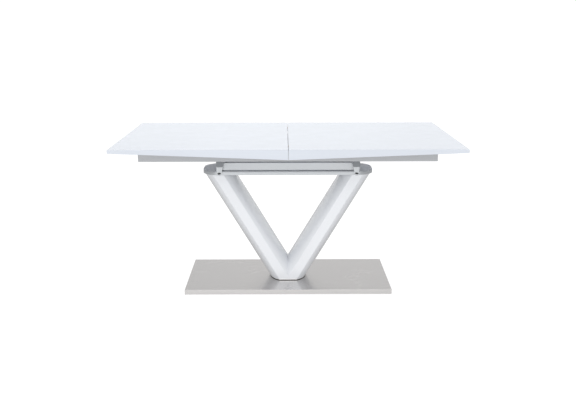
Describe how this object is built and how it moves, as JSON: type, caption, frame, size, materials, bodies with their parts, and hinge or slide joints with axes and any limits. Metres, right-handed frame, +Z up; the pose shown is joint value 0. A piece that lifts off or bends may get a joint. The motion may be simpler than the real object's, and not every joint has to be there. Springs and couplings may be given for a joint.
{
  "type": "extendable dining table",
  "caption": "Rectangular extending dining table: two sliding half tops with tapered skirts on rails over a V-shaped pedestal and a flat metal-clad base, with a stored loose leaf.",
  "frame": {"origin": "on the floor, under the middle of the closed top", "axes": "+X along the table to the right half, +Y to the back, +Z up"},
  "size_m": [1.6, 0.9, 0.75],
  "materials": {
    "white_lacquer": "glossy white lacquer over board",
    "brushed_steel": "brushed, satin",
    "silver_metal": "satin silver paint",
    "zinc_steel": "zinc plated",
    "black_steel": "black oxide",
    "grey_plastic": "moulded, matt",
    "white_plastic": "moulded, satin",
    "core_board": "raw fibreboard",
    "beech": "turned, unfinished",
    "rubber": "matt"
  },
  "bodies": {
    "frame": {"base_cover": "brushed_steel", "base_core": "core_board", "foot_gasket": "rubber", "base_glide_1": "rubber", "base_glide_2": "rubber", "base_glide_3": "rubber", "base_glide_4": "rubber", "left_leg": "white_lacquer", "right_leg": "white_lacquer", "leg_bolt_1": "zinc_steel", "leg_bolt_2": "zinc_steel", "leg_bolt_3": "zinc_steel", "leg_bolt_4": "zinc_steel", "plate_screw_1": "zinc_steel", "plate_screw_2": "zinc_steel", "plate_screw_3": "zinc_steel", "plate_screw_4": "zinc_steel", "pinion_bracket": "zinc_steel", "pinion_axle": "zinc_steel", "leg_plate": "silver_metal", "lower_rail_front": "silver_metal", "lower_rail_back": "silver_metal", "cross_bar_left": "silver_metal", "cross_bar_right": "silver_metal", "long_rail_front": "silver_metal", "long_rail_back": "silver_metal", "rail_tie_1": "silver_metal", "rail_tie_2": "silver_metal", "rail_tie_3": "silver_metal", "rail_tie_4": "silver_metal", "leaf_stop": "silver_metal", "strap_front_left": "silver_metal", "strap_front_right": "silver_metal", "strap_back_left": "silver_metal", "strap_back_right": "silver_metal", "cross_bar_cap_front_left": "grey_plastic", "cross_bar_cap_front_right": "grey_plastic", "cross_bar_cap_back_left": "grey_plastic", "cross_bar_cap_back_right": "grey_plastic", "strap_bolt_front_left": "black_steel", "strap_bolt_front_right": "black_steel", "strap_bolt_back_left": "black_steel", "strap_bolt_back_right": "black_steel"},
    "left_top": {"left_top": "white_lacquer", "left_runner_front": "zinc_steel", "left_runner_back": "zinc_steel", "left_rack": "white_plastic", "latch_plate": "zinc_steel"},
    "right_top": {"right_top": "white_lacquer", "right_runner_front": "zinc_steel", "right_runner_back": "zinc_steel", "right_rack": "white_plastic", "latch_strike": "zinc_steel", "top_dowel_1": "beech", "top_dowel_2": "beech"},
    "sync_pinion": {"sync_pinion": "white_plastic"},
    "latch_lever": {"latch_lever": "black_steel"},
    "leaf": {"extension_leaf": "white_lacquer", "leaf_dowel_1": "beech", "leaf_dowel_2": "beech"}
  },
  "joints": [
    {"name": "left_half_slide", "type": "slide", "parent": "frame", "child": "left_top", "axis": [-1, 0, 0], "range_m": [0, 0.2]},
    {"name": "right_half_slide", "type": "slide", "parent": "frame", "child": "right_top", "axis": [1, 0, 0], "range_m": [0, 0.2]},
    {"name": "pinion_turn", "type": "hinge", "parent": "frame", "child": "sync_pinion", "pos_m": [0, 0.29, 0.699], "axis": [0, 0, 1], "range_deg": [-320, 2]},
    {"name": "latch_swing", "type": "hinge", "parent": "left_top", "child": "latch_lever", "pos_m": [-0.045, -0.33, 0.7235], "axis": [0, 0, 1], "range_deg": [0, 90]},
    {"name": "leaf_slide", "type": "slide", "parent": "frame", "child": "leaf", "axis": [1, 0, 0], "range_m": [0, 0.68]}
  ],
  "couplings": [
    {"joint": "right_half_slide", "follows": "left_half_slide", "ratio": 1},
    {"joint": "pinion_turn", "follows": "left_half_slide", "rad_per_m": -27.778}
  ]
}
